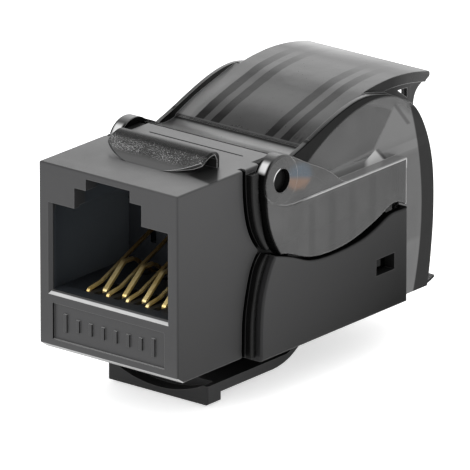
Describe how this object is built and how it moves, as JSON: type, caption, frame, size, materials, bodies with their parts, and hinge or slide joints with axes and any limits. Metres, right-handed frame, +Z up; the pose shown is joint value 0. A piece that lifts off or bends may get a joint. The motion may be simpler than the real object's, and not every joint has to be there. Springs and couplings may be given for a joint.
{
  "type": "keystone jack",
  "caption": "Dark keystone jack with a modular plug socket, gilt spring contacts, a smoked wire cap hinged over the terminal block, a curled top catch and a flexing latch arm below.",
  "frame": {"origin": "centre of the front face, where the plug goes in", "axes": "+Y from the plug face to the cable end, +Z up on the side of the plug's latch, +X to the right when looking along +Y"},
  "size_m": [0.0164, 0.0335, 0.0222],
  "materials": {
    "housing_plastic": "fine moulded satin, dark grey",
    "smoked_plastic": "smoked transparent polycarbonate",
    "insert_plastic": "black moulding",
    "block_plastic": "dark grey moulding",
    "gilt_wire": "gold plated, bright",
    "tinned_metal": "tinned sheet",
    "circuit_board": "green solder mask",
    "colour_label": "printed colour fields"
  },
  "bodies": {
    "housing": {"front_housing": "housing_plastic", "rear_housing": "housing_plastic", "contact_carrier": "insert_plastic", "spring_contact_1": "gilt_wire", "spring_contact_2": "gilt_wire", "spring_contact_3": "gilt_wire", "spring_contact_4": "gilt_wire", "spring_contact_5": "gilt_wire", "spring_contact_6": "gilt_wire", "spring_contact_7": "gilt_wire", "spring_contact_8": "gilt_wire", "circuit_board": "circuit_board", "terminal_block": "block_plastic", "idc_terminal_1": "tinned_metal", "idc_terminal_2": "tinned_metal", "idc_terminal_3": "tinned_metal", "idc_terminal_4": "tinned_metal", "idc_terminal_5": "tinned_metal", "idc_terminal_6": "tinned_metal", "idc_terminal_7": "tinned_metal", "idc_terminal_8": "tinned_metal"},
    "cap": {"hinged_cap": "smoked_plastic", "wiring_label_left": "colour_label", "wiring_label_right": "colour_label"}
  },
  "joints": [
    {"name": "cap_hinge", "type": "hinge", "parent": "housing", "child": "cap", "pos_m": [0, 0.01194, 0.00619], "axis": [1, 0, 0], "range_deg": [0, 65]}
  ]
}
